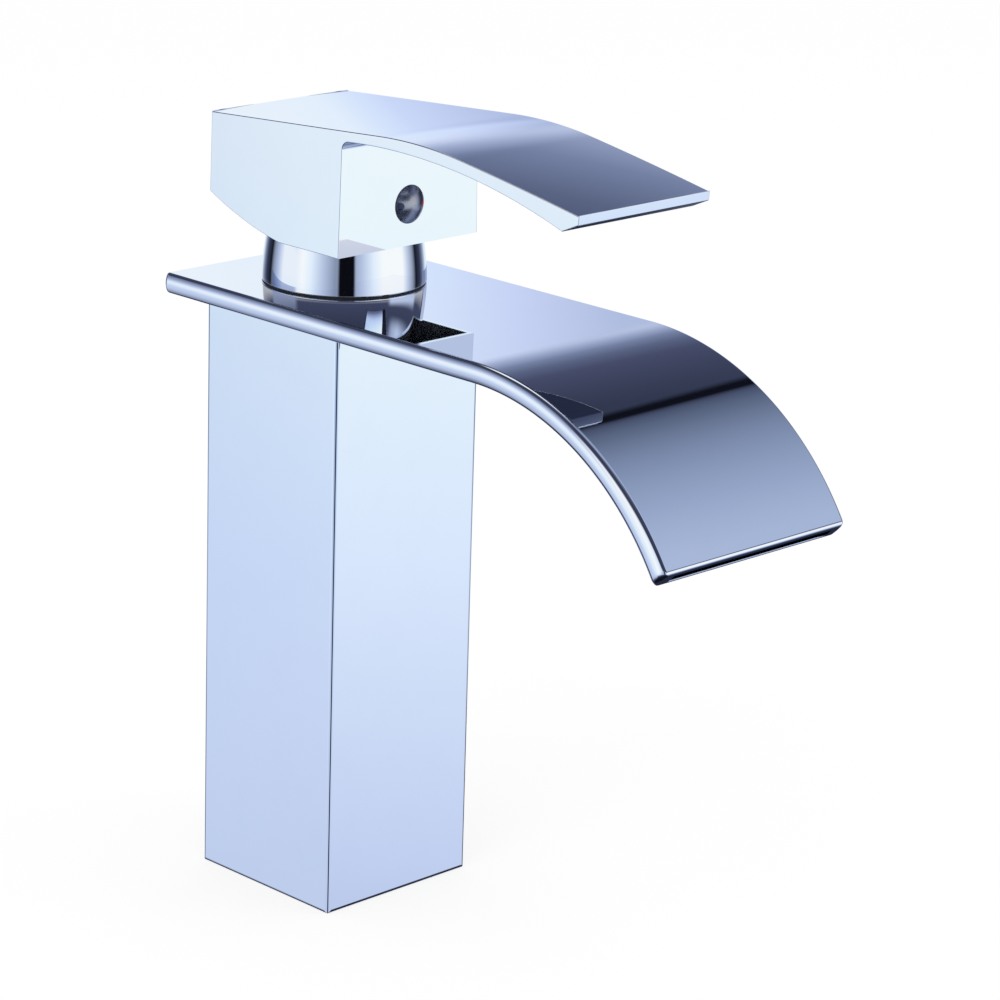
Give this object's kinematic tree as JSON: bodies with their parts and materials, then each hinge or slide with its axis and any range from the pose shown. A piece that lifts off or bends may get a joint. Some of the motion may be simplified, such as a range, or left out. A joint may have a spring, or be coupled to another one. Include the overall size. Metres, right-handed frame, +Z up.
{
  "type": "basin faucet",
  "caption": "Single-lever waterfall basin faucet with a square column, a hollow curved spout plate and a ceramic disc cartridge.",
  "frame": {"origin": "centre of the column's base, on the plane that rests on the basin", "axes": "+Z up, -Y the way the spout points, +X to the right of someone who faces the faucet"},
  "size_m": [0.058, 0.1608, 0.1882],
  "materials": {
    "chrome_body": "polished chrome plate on brass",
    "chrome_spout": "polished chrome plate on brass",
    "chrome_dome": "polished chrome plate on brass",
    "chrome_handle": "polished chrome plate on a zinc casting",
    "chrome_button": "polished chrome plate",
    "plain_brass": "machined",
    "plain_steel": "machined",
    "black_rubber": "matt",
    "white_plastic": "moulded",
    "grey_plastic": "moulded",
    "red_plastic": "moulded",
    "blue_plastic": "moulded",
    "disc_ceramic": "lapped",
    "red_enamel": "gloss",
    "blue_enamel": "gloss"
  },
  "bodies": {
    "body": {"column_body": "chrome_body", "base_gasket": "black_rubber", "spout_gasket": "black_rubber", "spout_top_plate": "chrome_spout", "spout_bottom_plate": "chrome_spout", "dome_seal_ring": "black_rubber", "dome_cover": "chrome_dome", "cartridge_nut": "plain_brass", "cartridge_housing": "white_plastic", "cartridge_base": "grey_plastic", "port_seals": "black_rubber", "fixed_disc": "disc_ceramic", "slip_ring": "white_plastic"},
    "turning_part": {"turret": "red_plastic", "pivot_pin": "plain_steel"},
    "lever": {"cartridge_stem": "plain_brass", "lever_handle": "chrome_handle", "set_screw": "plain_steel", "index_button": "chrome_button", "index_mark_hot": "red_enamel", "index_mark_cold": "blue_enamel"},
    "disc_set": {"disc_carrier": "blue_plastic", "moving_disc": "disc_ceramic"}
  },
  "joints": [
    {"name": "lever_swing", "type": "hinge", "parent": "body", "child": "turning_part", "pos_m": [0, 0, 0.15], "axis": [0, 0, 1], "range_deg": [-50, 50]},
    {"name": "lever_lift", "type": "hinge", "parent": "turning_part", "child": "lever", "pos_m": [0, 0, 0.15], "axis": [-1, 0, 0], "range_deg": [0, 25]},
    {"name": "disc_slide", "type": "slide", "parent": "turning_part", "child": "disc_set", "axis": [0, -1, 0], "range_m": [0, 0.0042]}
  ],
  "couplings": [
    {"joint": "disc_slide", "follows": "lever_lift", "m_per_rad": 0.0093}
  ]
}
